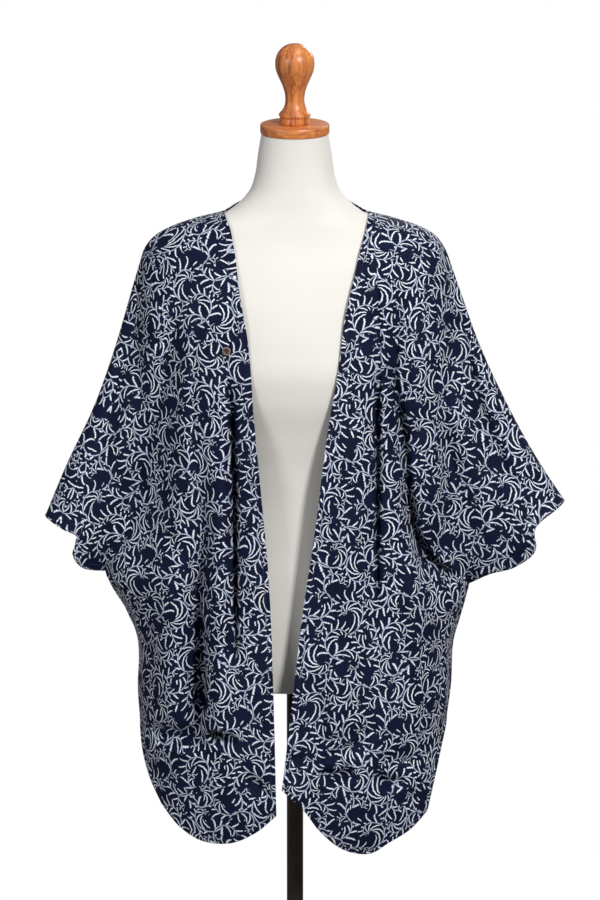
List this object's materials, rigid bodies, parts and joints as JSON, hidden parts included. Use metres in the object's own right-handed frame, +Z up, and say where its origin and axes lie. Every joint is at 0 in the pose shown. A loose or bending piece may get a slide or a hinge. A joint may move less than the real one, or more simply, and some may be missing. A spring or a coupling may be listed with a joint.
{
  "type": "kimono jacket on a dress form",
  "caption": "Open-front kimono jacket with wide grown-on sleeves and rounded front hems, worn by a limbless dress form with a turned wooden knob, a slim pole and a round foot.",
  "frame": {"origin": "centre of the foot's underside, on the floor", "axes": "+Z up along the pole; the jacket opens towards -Y; +X is to the right of someone who looks at its front"},
  "size_m": [0.6841, 0.3, 1.584],
  "materials": {
    "navy_cloth": "plain weave, printed",
    "cream_linen": "plain weave, stretched",
    "turned_wood": "varnished",
    "dark_steel": "satin",
    "button_shell": "polished shell"
  },
  "bodies": {
    "root": {"front_right": "navy_cloth", "front_left": "navy_cloth", "back": "navy_cloth", "button": "button_shell", "form_body": "cream_linen", "neck_cap": "turned_wood", "finial": "turned_wood", "pole": "dark_steel", "stand_base": "dark_steel"}
  },
  "joints": []
}
